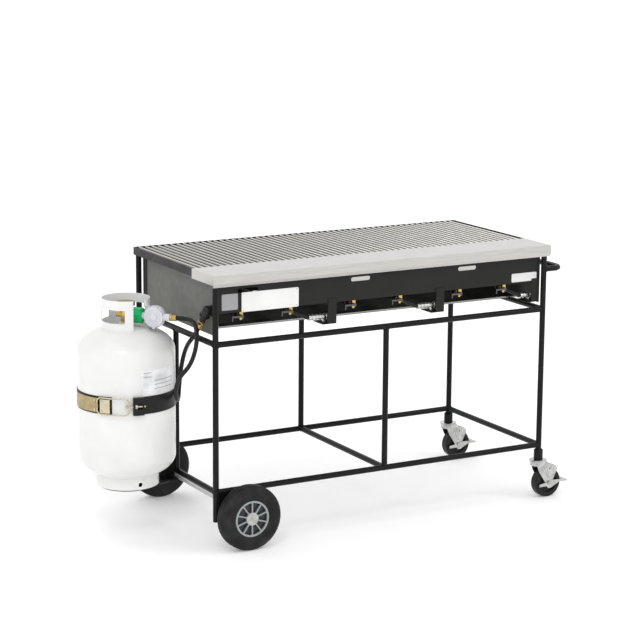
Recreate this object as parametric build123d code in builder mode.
"""A wheeled commercial gas grill cart with a strapped-on LP gas cylinder, as an assembly of pieces.

Millimetres, +X along the length towards the push handle, +Y from the working side to the back,
+Z up. The origin is on the floor, under the middle of the whole cart.
"""
import os
from math import cos, pi, radians, sin, tan

from build123d import *

# ---------------------------------------------------------------- driving dimensions
leg_span_x = 1226.5          # between the left and right legs' axes
leg_span_y = 565.0           # between the front and back legs' axes
top_height = 875.0           # top of the grate, rim and shelf
tube_radius = 19.05 / 2      # 3/4 inch tube
lower_rail_z = 185.0
upper_rail_z = 656.0
sheet = 2.0                  # firebox sheet steel
clear = 0.3                  # gap between pieces that move past each other

wheel_radius = 104.5         # over the tyre of a nominal 8 inch wheel
wheel_width = 50.0
wheel_offset_x = 92.0        # wheel axle, from the left legs' axis
wheel_outer_y = 73.0         # outer face of the tyre, out from the legs' axis
axle_radius = 6.35

caster_radius = 50.8         # 4 inch caster
caster_width = 32.0
caster_trail = 33.0
caster_mount_z = 134.5       # underside of the caster socket

tank_radius = 155.0          # 12.2 inch, 30 lb cylinder
tank_offset_x = 174.3        # cylinder axis, out from the left legs' axis
tank_base_z = 170.0
outlet_angle = -47.0         # the valve outlet turns towards the working side

pedal_reach = 76.0           # caster brake pedal's tip, out from the caster's axle
handle_reach = 71.0          # grip bar axis, out from the right legs' axis
handle_z = 792.0

band_thickness = 2.0
toggle_thickness = 3.0

# ---------------------------------------------------------------- positions worked out from them
band_radius = tank_radius + clear + band_thickness
toggle_radius = band_radius + clear + toggle_thickness
left_end = tank_offset_x + toggle_radius
right_end = leg_span_x + caster_trail + pedal_reach
left_x = (left_end - right_end) / 2
right_x = left_x + leg_span_x
mid_x = (left_x + right_x) / 2
front_y = -leg_span_y / 2
back_y = leg_span_y / 2
tank_x = left_x - tank_offset_x
wheel_x = left_x + wheel_offset_x
wheel_z = wheel_radius

BASE = (Align.CENTER, Align.CENTER, Align.MIN)
CORNER = (Align.MIN, Align.MIN, Align.MIN)

os.makedirs("parts", exist_ok=True)


def keep(piece, label):
    """Name a finished piece and write it."""
    piece.part.label = label
    export_step(piece.part, f"parts/{label}.step")


def round_bar(start, end, radius):
    """A straight round bar from one point to another."""
    axis = Vector(*end) - Vector(*start)
    with BuildPart(Plane(origin=start, z_dir=axis)) as bar:
        Cylinder(radius, axis.length, align=BASE)
    return bar.part


def block(low, high):
    """A rectangular block between two opposite corners."""
    size = Vector(*high) - Vector(*low)
    with BuildPart(Plane(origin=low)) as solid:
        Box(size.X, size.Y, size.Z, align=CORNER)
    return solid.part


def tubes(runs, around, radius=tube_radius):
    """A group of tubes, each coped round the tubes that it meets."""
    with BuildPart() as group:
        for start, end in runs:
            add(round_bar(start, end, radius))
        for post in around:
            add(post, mode=Mode.SUBTRACT)
    return group


def mirrored_tubes(runs, around):
    """Coped tubes in the back half, and their mirror images in the front half."""
    back_half = tubes(runs, around)
    with BuildPart() as group:
        add(back_half.part)
        mirror(about=Plane.XZ)
    return group


def on_tank(radius, angle, z):
    """A point at a radius and an angle round the cylinder's axis."""
    return (tank_x + radius * cos(radians(angle)), radius * sin(radians(angle)), z)


# ---------------------------------------------------------------- frame: legs, rails, posts
leg_bottom_left = 89.5
leg_bottom_right = caster_mount_z + 16
shelf_sheet = 1.5
rim_size = 25.4
rim_thickness = 3.2
rim_bottom = top_height - rim_size
front_leg_top = top_height - shelf_sheet
legs = {}
for side, x, bottom in (("left", left_x, leg_bottom_left), ("right", right_x, leg_bottom_right)):
    with BuildPart() as pair:
        add(round_bar((x, front_y, bottom), (x, front_y, front_leg_top), tube_radius))
        add(round_bar((x, back_y, bottom), (x, back_y, rim_bottom), tube_radius))
    legs[side] = pair.part
    keep(pair, f"{side}_legs")
all_legs = [legs["left"], legs["right"]]

rails = {}
for level, z in (("lower", lower_rail_z), ("upper", upper_rail_z)):
    runs = [((left_x, y, z), (right_x, y, z)) for y in (front_y, back_y)]
    long_rails = tubes(runs, all_legs)
    rails[level] = long_rails.part
    keep(long_rails, f"{level}_long_rails")

cross_x = {"lower": (left_x, mid_x, right_x), "upper": (left_x, right_x)}
for level, z in (("lower", lower_rail_z), ("upper", upper_rail_z)):
    runs = [((x, 0, z), (x, back_y, z)) for x in cross_x[level]]
    cross_rails = mirrored_tubes(runs, all_legs + [rails[level]])
    rails[f"{level}_cross"] = cross_rails.part
    keep(cross_rails, f"{level}_cross_rails")

post_run = [((mid_x, back_y, lower_rail_z), (mid_x, back_y, upper_rail_z))]
mid_posts = mirrored_tubes(post_run, [rails["lower"], rails["upper"], rails["lower_cross"]])
keep(mid_posts, "mid_posts")

tank_post_radius = tube_radius - 0.5
tank_post_run = [((left_x, 0, lower_rail_z), (left_x, 0, upper_rail_z))]
tank_post = tubes(tank_post_run, [rails["lower_cross"], rails["upper_cross"]], tank_post_radius)
keep(tank_post, "tank_post")

# ---------------------------------------------------------------- push handle
handle_bend = 30.0
with BuildPart() as push_handle:
    with BuildLine() as handle_path:
        FilletPolyline(
            (right_x, front_y, handle_z),
            (right_x + handle_reach, front_y, handle_z),
            (right_x + handle_reach, back_y, handle_z),
            (right_x, back_y, handle_z),
            radius=handle_bend,
        )
    with BuildSketch(Plane(origin=(right_x, front_y, handle_z), z_dir=(1, 0, 0))):
        Circle(tube_radius)
    sweep()
    add(legs["right"], mode=Mode.SUBTRACT)
keep(push_handle, "push_handle")

# ---------------------------------------------------------------- tank platform
platform_thickness = 5.0
platform_radius = 92.0
platform_arm = 64.0
gusset_top_z = 232.0
gusset_foot = 60.0
tank_side_x = left_x - tube_radius
with BuildPart() as tank_platform:
    with BuildSketch(Plane.XY.offset(tank_base_z - platform_thickness)):
        with Locations((tank_x, 0)):
            Circle(platform_radius)
        with Locations(((tank_x + tank_side_x) / 2, 0)):
            Rectangle(tank_side_x - tank_x, platform_arm)
    extrude(amount=platform_thickness)
    with BuildSketch(Plane.XZ.offset(-sheet)):
        with BuildLine():
            Polyline(
                (tank_side_x, tank_base_z - platform_thickness),
                (tank_side_x, gusset_top_z),
                (tank_side_x - gusset_foot / 3, gusset_top_z),
                (tank_side_x - gusset_foot, tank_base_z),
                (tank_side_x - gusset_foot, tank_base_z - platform_thickness),
                close=True,
            )
        make_face()
    extrude(amount=2 * sheet)
    add(rails["lower_cross"], mode=Mode.SUBTRACT)
    add(tank_post.part, mode=Mode.SUBTRACT)
keep(tank_platform, "tank_platform")

# ---------------------------------------------------------------- axle, axle plates and big wheels
plate_reach = 24.0           # plate metal beyond the axle's centre
plate_top = lower_rail_z - tube_radius
axle_plates_thickness = 4.0
with BuildPart() as axle_plates:
    for y in (front_y, back_y):
        with BuildSketch(Plane.XZ.offset(-y - axle_plates_thickness / 2)) as plate_outline:
            with BuildLine():
                Polyline(
                    (left_x, plate_top),
                    (wheel_x + plate_reach, plate_top),
                    (wheel_x + plate_reach, wheel_z - plate_reach / 2),
                    (wheel_x - plate_reach, wheel_z - plate_reach / 2),
                    (left_x, leg_bottom_left + plate_reach),
                    close=True,
                )
            make_face()
            fillet(plate_outline.vertices().group_by(Axis.X)[-1].sort_by(Axis.Y)[0], plate_reach / 2)
            with Locations((wheel_x, wheel_z)):
                Circle(axle_radius, mode=Mode.SUBTRACT)
        extrude(amount=axle_plates_thickness)
    add(legs["left"], mode=Mode.SUBTRACT)
    add(rails["lower"], mode=Mode.SUBTRACT)
keep(axle_plates, "axle_plates")

axle_end = leg_span_y / 2 + wheel_outer_y - 8
with BuildPart(Plane(origin=(wheel_x, axle_end, wheel_z), z_dir=(0, -1, 0))) as axle:
    Cylinder(axle_radius, 2 * axle_end, align=BASE)
    chamfer(axle.edges().filter_by(GeomType.CIRCLE), 1.0)
keep(axle, "axle")

rim_radius = 58.0
rim_band = 6.0
rim_web = 7.0
hub_radius = 21.0
bore_clearance = 0.1
rib_count = 10
rib_depth = 10.0
hub_in = tube_radius + 2                   # the hub runs in nearly to the frame
for name, side in (("front", -1), ("back", 1)):
    outer_face = Plane(
        origin=(wheel_x, side * (leg_span_y / 2 + wheel_outer_y), wheel_z), z_dir=(0, -side, 0)
    )
    with BuildPart(outer_face) as tyre:
        Cylinder(wheel_radius, wheel_width, align=BASE)
        fillet(tyre.edges().filter_by(GeomType.CIRCLE), 11.0)
        Cylinder(rim_radius + clear / 2, wheel_width, align=BASE, mode=Mode.SUBTRACT)
    keep(tyre, f"{name}_wheel_tyre")
    with BuildPart(outer_face) as rim:
        with Locations((0, 0, 2.0)):
            Cylinder(rim_radius, wheel_width - 4.0, align=BASE)
            Cylinder(rim_radius - rim_band, wheel_width - 4.0, align=BASE, mode=Mode.SUBTRACT)
        with Locations((0, 0, 2.0 + rib_depth)):
            Cylinder(rim_radius - rim_band / 2, rim_web, align=BASE)
        with Locations((0, 0, 2.0)):
            with PolarLocations((rim_radius + hub_radius) / 2 - 1, rib_count):
                Box(rim_radius - hub_radius, 4.0, rib_depth + 1, align=BASE)
        with Locations((0, 0, 2.0)):
            Cylinder(hub_radius, wheel_outer_y - hub_in - 2.0, align=BASE)
        Cylinder(axle_radius + bore_clearance, 3 * wheel_width, mode=Mode.SUBTRACT)
    keep(rim, f"{name}_wheel_rim")

# ---------------------------------------------------------------- casters
socket_radius = 15.5
socket_height = 36.5
stem_radius = 5.5
with BuildPart() as caster_sockets:
    for y in (front_y, back_y):
        add(round_bar((right_x, y, caster_mount_z), (right_x, y, caster_mount_z + socket_height),
                      socket_radius))
    chamfer(caster_sockets.edges().filter_by(GeomType.CIRCLE).group_by(Axis.Z)[-1], 4.0)
    for y in (front_y, back_y):
        add(round_bar((right_x, y, caster_mount_z), (right_x, y, leg_bottom_right), stem_radius),
            mode=Mode.SUBTRACT)
    add(legs["right"], mode=Mode.SUBTRACT)
keep(caster_sockets, "caster_sockets")

raceway_radius = 29.0
raceway_height = 8.5
with BuildPart() as caster_stems:
    for y in (front_y, back_y):
        add(round_bar((right_x, y, caster_mount_z - raceway_height), (right_x, y, caster_mount_z),
                      raceway_radius))
    fillet(caster_stems.edges().filter_by(GeomType.CIRCLE).group_by(Axis.Z)[-1], 4.0)
    for y in (front_y, back_y):
        add(round_bar((right_x, y, caster_mount_z - 1), (right_x, y, leg_bottom_right), stem_radius))
keep(caster_stems, "caster_stems")

fork_top = caster_mount_z - raceway_height - clear
fork_disc = 12.0
fork_gap = caster_width / 2 + 2.0          # half the width inside the fork
fork_sheet = 3.0
fork_hole = 2.5
hub_bore = 4.0
lever_sheet = 2.0             # brake lever
tread_depth = 20.0
fork_axle_x = right_x + caster_trail
for name, y in (("front", front_y), ("back", back_y)):
    with BuildPart() as fork:
        add(round_bar((right_x, y, fork_top - fork_disc), (right_x, y, fork_top), 27.0))
        for side in (-1, 1):
            inner = y + side * fork_gap
            outer = y + side * (fork_gap + fork_sheet)
            with BuildSketch(Plane.XZ.offset(-max(inner, outer))) as cheek:
                with BuildLine():
                    Polyline(
                        (right_x - 20, fork_top - 1),
                        (right_x + 20, fork_top - 1),
                        (fork_axle_x + 14, caster_radius + 65),
                        (fork_axle_x + 28, caster_radius + 56),
                        (fork_axle_x + 33, caster_radius + 46),
                        (fork_axle_x + 7, caster_radius - 10),
                        (fork_axle_x - 7, caster_radius - 10),
                        (fork_axle_x - 19, caster_radius + 8),
                        (fork_axle_x - 39, caster_radius + 38),
                        close=True,
                    )
                make_face()
                fillet(cheek.vertices().group_by(Axis.Y)[0], 4.0)
                with Locations((fork_axle_x + 2, caster_radius + 50), (fork_axle_x + 16, caster_radius + 51)):
                    Circle(fork_hole, mode=Mode.SUBTRACT)
            extrude(amount=fork_sheet)
        add(round_bar((fork_axle_x, y - fork_gap - 6, caster_radius),
                      (fork_axle_x, y + fork_gap + 6, caster_radius), hub_bore))
    keep(fork, f"{name}_caster_fork")

    wheel_face = Plane(origin=(fork_axle_x, y, caster_radius), z_dir=(0, 1, 0))
    with BuildPart(wheel_face) as caster_wheel:
        Cylinder(caster_radius, caster_width)
        fillet(caster_wheel.edges().filter_by(GeomType.CIRCLE), 5.0)
        for turn in (0, 180):
            with Locations(Location((0, 0, 0), (turn, 0, 0))):
                with Locations((0, 0, caster_width / 2 - 6)):
                    Cylinder(34.0, 10, align=BASE, mode=Mode.SUBTRACT)
                    Cylinder(13.0, 6 + 1.0, align=BASE)
        Cylinder(hub_bore + bore_clearance, 2 * caster_width, mode=Mode.SUBTRACT)
    keep(caster_wheel, f"{name}_caster_wheel")

    lever_gap = fork_gap + fork_sheet + clear
    with BuildPart() as brake:
        for side in (-1, 1):
            near = y + side * lever_gap
            far = y + side * (lever_gap + lever_sheet)
            with BuildSketch(Plane.XZ.offset(-max(near, far))) as arm:
                with BuildLine():
                    Polyline(
                        (fork_axle_x - 40, caster_radius - 11),
                        (fork_axle_x - 40, caster_radius - 2),
                        (fork_axle_x - 12, caster_radius + 2),
                        (fork_axle_x + 4, caster_radius + 9),
                        (fork_axle_x + 36, caster_radius + 8),
                        (fork_axle_x + pedal_reach, caster_radius + 3),
                        (fork_axle_x + pedal_reach, caster_radius - 1),
                        (fork_axle_x + 38, caster_radius - 2),
                        (fork_axle_x + 7, caster_radius - 18),
                        (fork_axle_x - 4, caster_radius - 18),
                        (fork_axle_x - 10, caster_radius - 11),
                        close=True,
                    )
                make_face()
                with Locations((fork_axle_x, caster_radius)):
                    Circle(hub_bore + bore_clearance, mode=Mode.SUBTRACT)
            extrude(amount=lever_sheet)
        with BuildSketch(Plane.XZ.offset(-(y + lever_gap + lever_sheet / 2))):
            with BuildLine():
                Polyline(
                    (fork_axle_x + pedal_reach - tread_depth, caster_radius + 1),
                    (fork_axle_x + pedal_reach - tread_depth, caster_radius + 4),
                    (fork_axle_x + pedal_reach, caster_radius + 2),
                    (fork_axle_x + pedal_reach, caster_radius - 1),
                    close=True,
                )
            make_face()
        extrude(amount=2 * lever_gap + lever_sheet)
    keep(brake, f"{name}_caster_brake")

# ---------------------------------------------------------------- firebox
panel_bottom = 678.0
front_panel_bottom = 750.0
plate_depth = 64.0           # lighter bracket plates, under the front of the box
pan_flange = 16.0            # the end panels turn in at the bottom to carry the drip pan
box_left = left_x + tube_radius
box_right = right_x - tube_radius
box_front = front_y + tube_radius
box_back = front_y + 547.0
return_flange = 27.0
manifold_y = front_y + 44.0
manifold_z = 758.0
manifold_radius = 13.35

for name, x, flange_x in (
    ("left", box_left, box_left),
    ("right", box_right - sheet, box_right - pan_flange),
):
    with BuildPart() as end_panel:
        add(block((x, box_front, panel_bottom), (x + sheet, box_back - sheet, rim_bottom)))
        add(block((flange_x, front_y + plate_depth + pan_flange, panel_bottom),
                  (flange_x + pan_flange, box_back - sheet, panel_bottom + sheet)))
        if name == "left":
            add(round_bar((x - 1, manifold_y, manifold_z), (x + sheet + 1, manifold_y, manifold_z),
                          manifold_radius), mode=Mode.SUBTRACT)
    keep(end_panel, f"firebox_{name}_panel")

back_panel_bottom = 695.0
with BuildPart() as back_panel:
    add(block((box_left - sheet, box_back - sheet, back_panel_bottom),
              (box_right + sheet, box_back, rim_bottom)))
    for x in (box_left - sheet, box_right):
        add(block((x, box_back - return_flange, back_panel_bottom), (x + sheet, box_back, rim_bottom)))
keep(back_panel, "firebox_back_panel")

slot_length = 72.0
slot_height = 14.0
slot_z = 818.0
slot_pitch = 405.0
slot_x = [mid_x + slot_pitch * step - 91.0 for step in (-1, 0, 1)]
with BuildPart() as front_panel:
    add(block((box_left + sheet, box_front, front_panel_bottom),
              (box_right - sheet, box_front + sheet, front_leg_top)))
    with BuildSketch(Plane.XZ.offset(-box_front - sheet)):
        with Locations([(x, slot_z) for x in slot_x]):
            SlotOverall(slot_length, slot_height)
    extrude(amount=sheet, mode=Mode.SUBTRACT)
keep(front_panel, "firebox_front_panel")

# ---------------------------------------------------------------- top rim and shelf
rim_out = 12.7                             # rim's outer face, out from the legs' axis
shelf_front = front_y - 18.0
shelf_back = front_y + 136.0
with BuildPart() as top_rim:
    add(block((left_x - rim_out, shelf_back + clear, rim_bottom),
              (right_x + rim_out, back_y + rim_out, top_height)))
    add(block((left_x - rim_out + rim_thickness, shelf_back - 1, rim_bottom + rim_thickness),
              (right_x + rim_out - rim_thickness, back_y + rim_out - rim_thickness, top_height + 1)),
        mode=Mode.SUBTRACT)
    add(block((left_x + rim_out, shelf_back - 1, rim_bottom - 1),
              (right_x - rim_out, back_y - rim_out, top_height + 1)), mode=Mode.SUBTRACT)
keep(top_rim, "top_rim")

shelf_side = rim_out + shelf_sheet
shelf_left = left_x - shelf_side
shelf_right = right_x + shelf_side
lip_z = 847.0
hem = 6.5
hem_drop = 10.0
cap_bottom = 844.0
ledge = 20.0
with BuildPart() as serving_shelf:
    # top, front face and the hem turned back at 45 degrees
    with BuildSketch(Plane.YZ.offset(shelf_left)):
        with BuildLine():
            Polyline(
                (shelf_back, top_height),
                (shelf_front, top_height),
                (shelf_front, lip_z),
                (shelf_front + hem, lip_z - hem_drop),
                (shelf_front + hem + shelf_sheet, lip_z - hem_drop + shelf_sheet),
                (shelf_front + shelf_sheet, lip_z + shelf_sheet),
                (shelf_front + shelf_sheet, top_height - shelf_sheet),
                (shelf_back, top_height - shelf_sheet),
                close=True,
            )
        make_face()
    extrude(amount=shelf_right - shelf_left)
    for x in (shelf_left, shelf_right - shelf_sheet):
        add(block((x, shelf_front, cap_bottom), (x + shelf_sheet, shelf_back, top_height)))
    # back flange and the ledge that carries the front of the grates
    add(block((left_x + rim_out + clear, shelf_back - shelf_sheet, rim_bottom),
              (right_x - rim_out - clear, shelf_back, top_height)))
    add(block((left_x + rim_out + clear, shelf_back - shelf_sheet, rim_bottom),
              (right_x - rim_out - clear, shelf_back + ledge, rim_bottom + rim_thickness)))
keep(serving_shelf, "serving_shelf")

# ---------------------------------------------------------------- grates
bar_radius = 12.7 / 2
bar_pitch = 22.86
bars_per_grate = 18
grate_pitch = bar_pitch * bars_per_grate
bar_front = shelf_back + 2.0
bar_back = back_y + rim_out - rim_thickness - 2.0
bar_z = top_height - bar_radius
cross_bottom = rim_bottom + rim_thickness + clear
cross_y = (shelf_back + 12.0, (bar_front + bar_back) / 2, bar_back - 8.0)
for step, name in ((-1, "left"), (0, "middle"), (1, "right")):
    centre = mid_x + step * grate_pitch
    half = (bars_per_grate - 1) * bar_pitch / 2
    with BuildPart() as grate:
        with BuildSketch(Plane.XZ.offset(-bar_front)):
            with Locations((centre, bar_z)):
                with GridLocations(bar_pitch, 1, bars_per_grate, 1):
                    Circle(bar_radius)
        extrude(amount=-(bar_back - bar_front))
        for y in cross_y:
            add(block((centre - half - bar_radius - 1.5, y - 4, cross_bottom),
                      (centre + half + bar_radius + 1.5, y + 4, bar_z - bar_radius + 1.5)))
    keep(grate, f"{name}_grate")

# ---------------------------------------------------------------- drip pan and its runners
pan_front = front_y + 97.0
pan_back = box_back - sheet - 4.0
pan_left = box_left + sheet + 3.0
pan_right = box_right - sheet - 3.0
pan_top = 690.0
pan_bottom = panel_bottom + sheet + clear
pan_sheet = 1.2
pan_lip = 6.0
pan_slope = 36.0


def pan_outline(inset):
    """The pan's side outline, with a sloping front."""
    with BuildLine() as outline:
        Polyline(
            (pan_front + inset, pan_top + inset),
            (pan_front + inset, pan_top - pan_lip + inset),
            (pan_front + pan_slope + inset, pan_bottom + inset),
            (pan_back - inset, pan_bottom + inset),
            (pan_back - inset, pan_top + inset),
            close=True,
        )
    return outline.line


with BuildPart() as drip_pan:
    with BuildSketch(Plane.YZ.offset(pan_left)):
        add(pan_outline(0))
        make_face()
    extrude(amount=pan_right - pan_left)
    with BuildSketch(Plane.YZ.offset(pan_left + pan_sheet)):
        add(pan_outline(pan_sheet))
        make_face()
    extrude(amount=pan_right - pan_left - 2 * pan_sheet, mode=Mode.SUBTRACT)
keep(drip_pan, "drip_pan")

# ---------------------------------------------------------------- gas manifold, burners and valves
module_pitch = 405.0
valve_pair = 175.0
pair_shift = -12.0
valve_x = []
for step in (-1, 0, 1):
    for side in (-0.5, 0.5):
        valve_x.append(mid_x + pair_shift + step * module_pitch + side * valve_pair)

elbow_x = left_x - 7.0
manifold_start = elbow_x + 4.0
with BuildPart() as gas_manifold:
    add(round_bar((manifold_start, manifold_y, manifold_z), (box_right - sheet, manifold_y, manifold_z),
                  manifold_radius))
keep(gas_manifold, "gas_manifold")

elbow_radius = 13.0
elbow_leg = 46.0
fitting_length = 26.0
fitting_radius = 9.5
elbow_down = Vector(-0.10, 0.60, -0.84).normalized()
elbow_centre = Vector(elbow_x, manifold_y, manifold_z)
elbow_end = elbow_centre + elbow_down * elbow_leg
hose_end = elbow_end + elbow_down * fitting_length
with BuildPart() as inlet_elbow:
    with Locations(elbow_centre):
        Sphere(elbow_radius + 2)
    add(round_bar(elbow_centre, elbow_end, elbow_radius - 2.5))
    add(round_bar(elbow_centre, (elbow_centre + elbow_down * 24), elbow_radius + 2))
    add(gas_manifold.part, mode=Mode.SUBTRACT)
keep(inlet_elbow, "inlet_elbow")

valve_half = 6.0
valve_bottom = 718.0
burner_radius = 12.5
burner_z = 735.0
burner_front = manifold_y + 34.0
with BuildPart() as valve_bodies:
    for x in valve_x:
        add(block((x - valve_half, manifold_y - valve_half, valve_bottom + 4),
                  (x + valve_half, manifold_y + valve_half, manifold_z - manifold_radius + 1)))
        add(round_bar((x, manifold_y, valve_bottom), (x, manifold_y, valve_bottom + 5), 4.5))
        # the gas orifice points back at the burner's mouth
        add(round_bar((x, manifold_y + valve_half - 1, burner_z - 5), (x, burner_front + 2, burner_z - 5),
                      4.0))
        # the stem that the lever turns on points at the working side
        add(round_bar((x, manifold_y - valve_half - 5, valve_bottom + 12),
                      (x, manifold_y, valve_bottom + 12), 3.0))
    add(gas_manifold.part, mode=Mode.SUBTRACT)
keep(valve_bodies, "valve_bodies")

# each lever is a bent flat bar on its valve's stem
stem_y = manifold_y - valve_half - 5
lever_length = 36.0
lever_drop = 13.0
for number, x in enumerate(valve_x, start=1):
    with BuildPart() as lever:
        add(round_bar((x, stem_y - 2, valve_bottom + 12), (x, stem_y + 4, valve_bottom + 12), 5.5))
        add(block((x - lever_length, stem_y - 2, valve_bottom + 9), (x, stem_y + 1, valve_bottom + 15)))
        add(block((x - lever_length, stem_y - 2, valve_bottom + 12 - lever_drop),
                  (x - lever_length + 4, stem_y + 1, valve_bottom + 15)))
        add(round_bar((x, stem_y - 1, valve_bottom + 12), (x, stem_y + 6, valve_bottom + 12), 3.1),
            mode=Mode.SUBTRACT)
    keep(lever, f"valve_lever_{number}")

burner_back = box_back - sheet
with BuildPart() as burners:
    for left, right in zip(valve_x[::2], valve_x[1::2]):
        for x in (left, right):
            add(round_bar((x, burner_front, burner_z), (x, burner_back, burner_z), burner_radius))
            add(round_bar((x, burner_front, burner_z - 5), (x, burner_front + 12, burner_z - 5), 7.0),
                mode=Mode.SUBTRACT)
        for y in (-70.0, 120.0):
            add(block((left, y - 9, burner_z - 9), (right, y + 9, burner_z + 9)))
keep(burners, "burners")

# ---------------------------------------------------------------- lighter tubes on their brackets
bracket_width = 31.0
plate_length = 54.0
plate_z = 684.0
mixer_radius = 9.5
mixer_length = 96.0
mixer_y = front_y + 30.0
mixer_z = 704.0
mixer_x = [x + 58.0 for x in valve_x[1::2]]
with BuildPart() as lighter_brackets:
    for x in mixer_x:
        right = x + 91.0 if x < valve_x[4] else box_right - sheet
        strap_left = right - bracket_width
        add(block((strap_left, box_front - sheet, plate_z - sheet),
                  (right, box_front, front_panel_bottom + 12)))
        add(block((right + 4 - plate_length, box_front - sheet, plate_z - sheet),
                  (right, box_front - sheet + plate_depth, plate_z)))
    add(legs["right"], mode=Mode.SUBTRACT)
keep(lighter_brackets, "lighter_brackets")

fin_pitch = 12.7
with BuildPart() as lighter_mixers:
    for x in mixer_x:
        length = min(mixer_length, box_right - sheet - 1 - x)
        add(round_bar((x, mixer_y, mixer_z), (x + length, mixer_y, mixer_z), mixer_radius - 2))
        for step in range(int(length / fin_pitch)):
            start = x + step * fin_pitch
            add(round_bar((start, mixer_y, mixer_z), (start + fin_pitch / 2, mixer_y, mixer_z),
                          mixer_radius))
        # the foot that stands on the bracket's plate
        add(block((x + length * 0.55, mixer_y - 5, plate_z), (x + length * 0.75, mixer_y + 5, mixer_z)))
keep(lighter_mixers, "lighter_mixers")

lighter_radius = 6.5
with BuildPart() as lighter_tubes:
    for x, valve in zip(mixer_x, valve_x[1::2]):
        add(round_bar((valve + valve_half + 1, manifold_y, valve_bottom + 10), (x, mixer_y, mixer_z),
                      lighter_radius))
    add(lighter_mixers.part, mode=Mode.SUBTRACT)
    add(valve_bodies.part, mode=Mode.SUBTRACT)
keep(lighter_tubes, "lighter_tubes")

# ---------------------------------------------------------------- gas cylinder
tank_lower = 268.0           # the straight wall's ends
tank_upper = 608.0
head_height = 78.0
tank_wall = 3.0
foot_radius = 100.0
foot_wall = 3.0
neck_radius = 17.0


def tank_outline(inset):
    """Half of the cylinder's outline, with elliptical heads."""
    radius = tank_radius - inset
    height = head_height - inset
    with BuildLine() as outline:
        EllipticalCenterArc((0, tank_lower), radius, height, start_angle=-90, arc_size=90)
        Line((radius, tank_lower), (radius, tank_upper))
        EllipticalCenterArc((0, tank_upper), radius, height, start_angle=0, arc_size=90)
        Line((0, tank_upper + height), (0, tank_lower - height))
    return outline.line


def tank_solid(inset):
    """The cylinder's envelope, drawn in by an even inset."""
    with BuildPart() as solid:
        with BuildSketch(Plane(origin=(tank_x, 0, 0), x_dir=(1, 0, 0), z_dir=(0, -1, 0))):
            add(tank_outline(inset))
            make_face()
        revolve(axis=Axis((tank_x, 0, 0), (0, 0, 1)))
    return solid.part


tank_envelope = tank_solid(0)
tank_hollow = tank_solid(tank_wall)
neck_top = tank_upper + head_height + 8
with BuildPart() as cylinder_body:
    add(tank_envelope)
    add(round_bar((tank_x, 0, tank_upper), (tank_x, 0, neck_top), neck_radius + 5))
    add(tank_hollow, mode=Mode.SUBTRACT)
    add(round_bar((tank_x, 0, tank_upper), (tank_x, 0, neck_top + 1), neck_radius - 4),
        mode=Mode.SUBTRACT)
keep(cylinder_body, "cylinder_body")


def ring_wall(low_z, high_z, outer, wall):
    """A plain upright ring round the cylinder's axis."""
    with BuildPart(Plane(origin=(tank_x, 0, low_z))) as ring:
        Cylinder(outer, high_z - low_z, align=BASE)
        Cylinder(outer - wall, high_z - low_z, align=BASE, mode=Mode.SUBTRACT)
    return ring.part


with BuildPart() as cylinder_foot_ring:
    add(ring_wall(tank_base_z, tank_lower - 40, foot_radius, foot_wall))
    for angle in (-90, 30, 150):
        add(round_bar(on_tank(foot_radius - 15, angle, tank_base_z + 16),
                      on_tank(foot_radius + 15, angle, tank_base_z + 16), 7.0), mode=Mode.SUBTRACT)
    add(tank_envelope, mode=Mode.SUBTRACT)
keep(cylinder_foot_ring, "cylinder_foot_ring")

collar_radius = 77.0
collar_wall = 3.0
collar_top = 773.0
window_bottom = 701.0
window_top = 744.0
collar_gap = (-96.0, -60.0)  # angles where the collar is open from top to bottom
collar_windows = ((-199.0, -116.0), (111.0, 150.0), (11.0, 50.0))  # hand holds, by angle
regulator_way_end = -28.0    # angle where the regulator's way out stops


def wedge(low_z, high_z, start, end, radius):
    """A pie slice round the cylinder's axis, between two angles."""
    with BuildPart() as slice_solid:
        with BuildSketch(Plane(origin=(tank_x, 0, low_z))):
            with BuildLine():
                first = Line((0, 0), (radius * cos(radians(start)), radius * sin(radians(start))))
                arc = CenterArc((0, 0), radius, start, end - start)
                Line(arc @ 1, first @ 0)
            make_face()
        extrude(amount=high_z - low_z)
    return slice_solid.part


with BuildPart() as cylinder_collar:
    add(ring_wall(tank_upper + 60, collar_top, collar_radius, collar_wall))
    for start, end in collar_windows:
        add(wedge(window_bottom, window_top, start, end, collar_radius + 5), mode=Mode.SUBTRACT)
    add(wedge(tank_upper, collar_top + 1, *collar_gap, collar_radius + 5), mode=Mode.SUBTRACT)
    # the way out for the regulator
    add(wedge(tank_upper, window_top + 8, collar_gap[1] - 1, regulator_way_end,
              collar_radius + 5), mode=Mode.SUBTRACT)
    add(tank_envelope, mode=Mode.SUBTRACT)
keep(cylinder_collar, "cylinder_collar")

# ---------------------------------------------------------------- cylinder valve, nut and regulator
outlet_z = 718.0
handwheel_z = 746.0
outlet_end = 26.0            # radii from the cylinder's axis along the outlet
nut_end = 58.0
reg_centre = 99.0
reg_end = 150.0
hose_start = 172.0
nut_radius = 25.0


def outlet_bar(start, end, radius):
    """A round bar along the outlet's axis, between two distances from the cylinder's axis."""
    return round_bar(on_tank(start, outlet_angle, outlet_z), on_tank(end, outlet_angle, outlet_z), radius)


with BuildPart() as cylinder_valve:
    add(round_bar((tank_x, 0, neck_top), (tank_x, 0, handwheel_z - 10), 15.0))
    add(round_bar((tank_x, 0, handwheel_z - 10), (tank_x, 0, handwheel_z + 8), 5.0))
    add(outlet_bar(0, outlet_end, 16.0))
    add(outlet_bar(outlet_end, outlet_end + 14, 12.0))
    add(outlet_bar(-31, 0, 10.0))
keep(cylinder_valve, "cylinder_valve")

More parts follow.
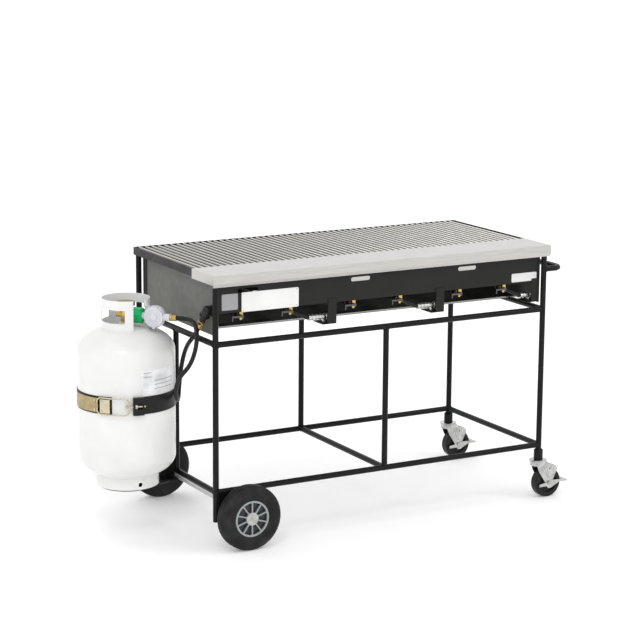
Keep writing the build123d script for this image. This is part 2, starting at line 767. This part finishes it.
lobe_count = 8
wheel_rim_radius = 30.0
with BuildPart(Plane(origin=(tank_x, 0, handwheel_z))) as cylinder_handwheel:
    Cylinder(wheel_rim_radius, 14, align=BASE)
    fillet(cylinder_handwheel.edges().filter_by(GeomType.CIRCLE), 3.0)
    with PolarLocations(wheel_rim_radius + 2, lobe_count):
        Cylinder(7.0, 40, mode=Mode.SUBTRACT)
    Cylinder(5.0 + bore_clearance, 8.2, align=BASE, mode=Mode.SUBTRACT)
keep(cylinder_handwheel, "cylinder_handwheel")

grip_count = 8
nut_plane = Plane(origin=on_tank(outlet_end + clear, outlet_angle, outlet_z),
                  z_dir=(cos(radians(outlet_angle)), sin(radians(outlet_angle)), 0))
with BuildPart(nut_plane) as fuel_nut:
    Cylinder(nut_radius, nut_end - outlet_end - 2 * clear, align=BASE)
    fillet(fuel_nut.edges().filter_by(GeomType.CIRCLE), 3.0)
    with PolarLocations(nut_radius + 3, grip_count):
        Cylinder(5.0, 100, mode=Mode.SUBTRACT)
    Cylinder(12.0 + bore_clearance, 14 + clear, align=BASE, mode=Mode.SUBTRACT)
    Cylinder(7.0 + bore_clearance, 100, mode=Mode.SUBTRACT)
keep(fuel_nut, "fuel_nut")

reg_radius = 35.5
face_angle = outlet_angle - 90
reg_face = Vector(cos(radians(face_angle)), sin(radians(face_angle)), 0)
reg_plane = Plane(origin=Vector(*on_tank(reg_centre, outlet_angle, outlet_z)) - reg_face * 16, z_dir=reg_face)
reg_rim = 6.0                # the clamped edge between the regulator's body and its cover
with BuildPart(reg_plane) as reg_body:
    Cylinder(reg_radius - 3, 17, align=BASE)
    with Locations((0, 0, 17)):
        Cylinder(reg_radius, reg_rim, align=BASE)
    with Locations((0, 0, 17 + reg_rim)):
        Cylinder(reg_radius - 4, 8, align=BASE)
with BuildPart() as regulator:
    add(reg_body.part)
    add(outlet_bar(outlet_end + 15, nut_end, 7.0))
    add(outlet_bar(nut_end, reg_end, 11.0))
keep(regulator, "regulator")

hose_radius = 7.0
with BuildPart() as hose_fittings:
    add(outlet_bar(reg_end, hose_start, fitting_radius))
    add(round_bar(elbow_end, hose_end, fitting_radius))
keep(hose_fittings, "hose_fittings")

# ---------------------------------------------------------------- gas hose
# its route, as offsets from the left legs' axis and the front legs' axis, with heights
hose_offsets = [
    (-28.0, 107.0, 716.0),
    (-31.0, 74.0, 707.0),
    (-44.0, 38.0, 680.0),
    (-60.0, 17.0, 641.0),
    (-78.0, 20.0, 594.0),
    (-102.0, 50.0, 553.0),
    (-102.0, 76.0, 505.0),
    (-79.0, 111.0, 465.0),
    (-52.0, 158.0, 458.0),
    (-29.0, 201.0, 485.0),
    (-14.0, 220.0, 534.0),
    (-10.0, 206.0, 586.0),
    (-16.0, 168.0, 624.0),
    (-24.0, 128.0, 648.0),
]
outlet_lead = 30.0           # straight hose out of each fitting
elbow_lead = 34.0
hose_route = [Vector(*on_tank(rho, outlet_angle, outlet_z)) for rho in (hose_start, hose_start + outlet_lead)]
hose_route += [Vector(left_x + x, front_y + y, z) for x, y, z in hose_offsets]
hose_route += [hose_end + elbow_down * elbow_lead, hose_end]
hose_runs = [b - a for a, b in zip(hose_route, hose_route[1:])]
hose_radii = []
for before, after in zip(hose_runs, hose_runs[1:]):
    half_turn = radians(before.get_angle(after) / 2)
    hose_radii.append(0.45 * min(before.length, after.length) / tan(half_turn))
print("hose radii", [round(radius) for radius in hose_radii])
with BuildPart() as gas_hose:
    with BuildLine() as hose_line:
        FilletPolyline(*hose_route, radius=hose_radii)
    with BuildSketch(Plane(origin=hose_route[0], z_dir=hose_runs[0])):
        Circle(hose_radius)
    sweep()
hose_length = hose_line.wire().length
hose_volume = hose_length * pi * hose_radius**2
print("hose length", round(hose_length), "volume ratio", round(gas_hose.part.volume / hose_volume, 4))
keep(gas_hose, "gas_hose")

# ---------------------------------------------------------------- cylinder strap
band_bottom = 430.0
band_top = 486.0
band_start = -95.0           # angles round the cylinder's axis
band_end = -131.0
fold_angle = -107.0
bolt_z = (band_bottom + band_top) / 2
band_inner = tank_radius + clear


def band_piece(low_z, high_z, start, end, inner, thickness):
    """A curved plate round the cylinder, between two angles."""
    with BuildPart() as plate:
        add(wedge(low_z, high_z, start, end, inner + thickness))
        add(wedge(low_z - 1, high_z + 1, start - 2, end + 2, inner), mode=Mode.SUBTRACT)
    return plate.part


fold_depth = 14.0
bolt_radius = 3.5
bolt_rho = band_inner + 10.5
slot_angles = (-105.0, -97.0)
slot_half = 8.0              # half the height of the slot that the nut sits in
with BuildPart() as strap_band:
    add(band_piece(band_bottom, band_top, fold_angle, 180, band_inner, band_thickness))
    add(band_piece(band_bottom, band_top, 180, 360 + band_end, band_inner, band_thickness))
    # the folded end that carries the T-bolt
    add(band_piece(band_bottom, band_top, fold_angle, band_start, band_inner, fold_depth))
    add(band_piece(bolt_z - slot_half, bolt_z + slot_half, *slot_angles, band_inner + 3, fold_depth),
        mode=Mode.SUBTRACT)
    # the tab that is welded to the tank post
    add(block((tank_x + band_radius - 1, -14, band_bottom + 8), (tank_side_x + 3, 14, band_top - 8)))
    add(tank_post.part, mode=Mode.SUBTRACT)

# ---------------------------------------------------------------- T-bolt, catch, toggle and wire bail
hook_angle = -114.5
thread_angle = -93.5
hook_point = on_tank(bolt_rho, hook_angle, bolt_z)
bolt_end = on_tank(bolt_rho, thread_angle, bolt_z)
nut_length = 6.0
catch_angles = (-144.0, -132.5)
catch_half = 22.0
catch_depth = 9.0
with BuildPart() as strap_fittings:
    add(round_bar(hook_point, bolt_end, bolt_radius))
    add(round_bar(on_tank(bolt_rho - 4, hook_angle, bolt_z), on_tank(bolt_rho + 8, hook_angle, bolt_z),
                  bolt_radius))
    bolt_axis = (Vector(*bolt_end) - Vector(*hook_point)).normalized()
    nut_start = Vector(*on_tank(bolt_rho - 1, slot_angles[0], bolt_z)) + bolt_axis
    with BuildSketch(Plane(origin=nut_start, z_dir=bolt_axis)):
        RegularPolygon(7.0, 6)
    extrude(amount=nut_length)
    # the catch box that is riveted to the band's other end, open towards the T-bolt
    add(band_piece(bolt_z - catch_half, bolt_z + catch_half, *catch_angles, band_radius, catch_depth))
    add(band_piece(bolt_z - catch_half + 3, bolt_z + catch_half - 3, catch_angles[0] + 3,
                   catch_angles[1] + 2, band_radius + 2, catch_depth - 3.5), mode=Mode.SUBTRACT)
keep(strap_fittings, "strap_fittings")

with BuildPart() as tank_strap:
    add(strap_band.part)
    add(strap_fittings.part, mode=Mode.SUBTRACT)
keep(tank_strap, "tank_strap")

latch_angle = -148.0
toggle_end = -190.0
toggle_half = 23.0
wire_radius = 2.5
latch_rho = toggle_radius + 3.1
latch_axis = on_tank(latch_rho, latch_angle, bolt_z)
knuckle_half = 7.0
with BuildPart() as strap_toggle:
    add(band_piece(bolt_z - toggle_half, bolt_z + toggle_half, toggle_end, latch_angle,
                   band_radius + clear, toggle_thickness))
    # the knuckle that the bail's wire runs through
    add(round_bar((latch_axis[0], latch_axis[1], bolt_z - knuckle_half),
                  (latch_axis[0], latch_axis[1], bolt_z + knuckle_half), 2 * wire_radius))
    add(round_bar((latch_axis[0], latch_axis[1], bolt_z - toggle_half - 1),
                  (latch_axis[0], latch_axis[1], bolt_z + toggle_half + 1),
                  wire_radius + bore_clearance), mode=Mode.SUBTRACT)
keep(strap_toggle, "strap_toggle")

bail_half = toggle_half + wire_radius + 0.5
bail_corner = 14.0
bail_turn = on_tank(latch_rho + 4, -130.0, bolt_z)
bail_tip = on_tank(bolt_rho + bolt_radius + wire_radius + clear, hook_angle + 3.0, bolt_z)
with BuildPart() as strap_bail:
    with BuildLine() as bail_line:
        bail_loop = FilletPolyline(
            (latch_axis[0], latch_axis[1], bolt_z - bail_half),
            (latch_axis[0], latch_axis[1], bolt_z + bail_half),
            (bail_turn[0], bail_turn[1], bolt_z + bail_half),
            (bail_tip[0], bail_tip[1], bolt_z + bail_half),
            (bail_tip[0], bail_tip[1], bolt_z - bail_half),
            (bail_turn[0], bail_turn[1], bolt_z - bail_half),
            radius=bail_corner,
            close=True,
        )
    with BuildSketch(Plane(origin=bail_loop @ 0, z_dir=bail_loop % 0)):
        Circle(wire_radius)
    sweep()
keep(strap_bail, "strap_bail")
